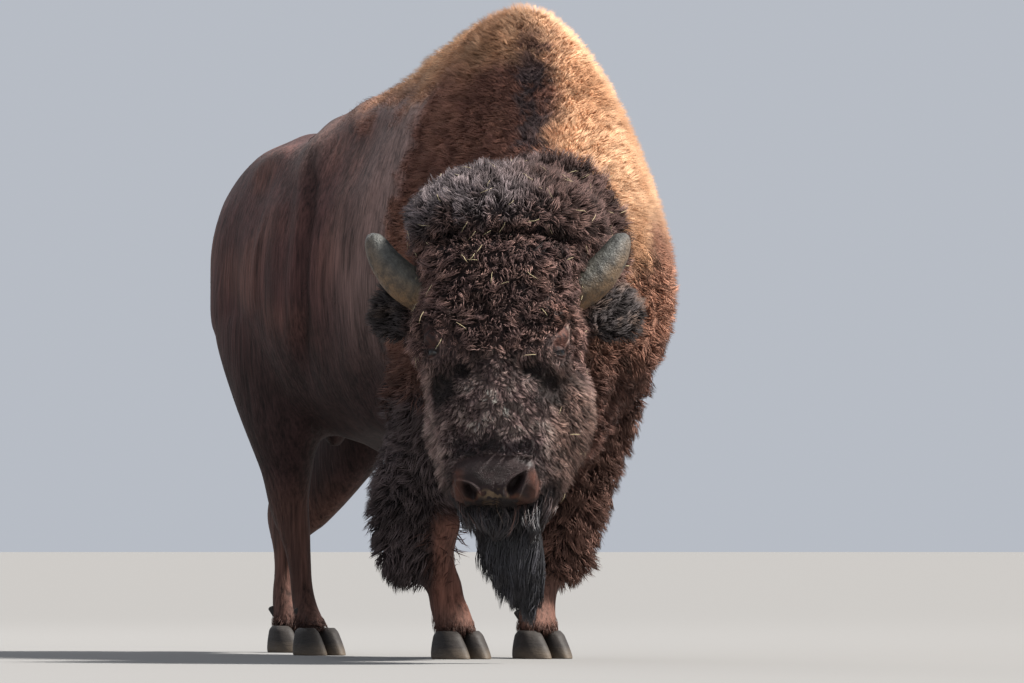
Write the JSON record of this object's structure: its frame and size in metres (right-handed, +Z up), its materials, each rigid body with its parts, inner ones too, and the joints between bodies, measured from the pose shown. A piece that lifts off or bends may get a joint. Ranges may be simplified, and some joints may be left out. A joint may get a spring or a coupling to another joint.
{
  "type": "american bison",
  "caption": "Life-size still model of an adult bison bull in mid-stride, with a high woolly hump, a lowered head turned to its right, short horns, a long beard and hairy forelegs.",
  "frame": {"origin": "middle of the model's box, on the floor it stands on", "axes": "+Z up, -Y the way the body faces, +X to the animal's left"},
  "size_m": [1.0846, 2.284, 1.7424],
  "materials": {
    "wool": "matt, curly brown wool, golden on the hump and blackish on the head",
    "coat": "short, smooth reddish-brown hair with a faint sheen",
    "horn": "weathered grey-green horn",
    "hoof": "dull, worn, near-black horn",
    "eye": "wet, very dark brown"
  },
  "bodies": {
    "root": {"head": "wool", "neck": "wool", "hump": "wool", "beard": "wool", "ear_left": "wool", "ear_right": "wool", "foreleg_left": "wool", "foreleg_right": "wool", "trunk": "coat", "hind_leg_left": "coat", "hind_leg_right": "coat", "tail": "coat", "scrotum": "coat", "horn_left": "horn", "horn_right": "horn", "fore_left_left_claw": "hoof", "fore_left_right_claw": "hoof", "fore_right_left_claw": "hoof", "fore_right_right_claw": "hoof", "hind_left_left_claw": "hoof", "hind_left_right_claw": "hoof", "hind_right_left_claw": "hoof", "hind_right_right_claw": "hoof", "eye_left": "eye", "eye_right": "eye"}
  },
  "joints": []
}
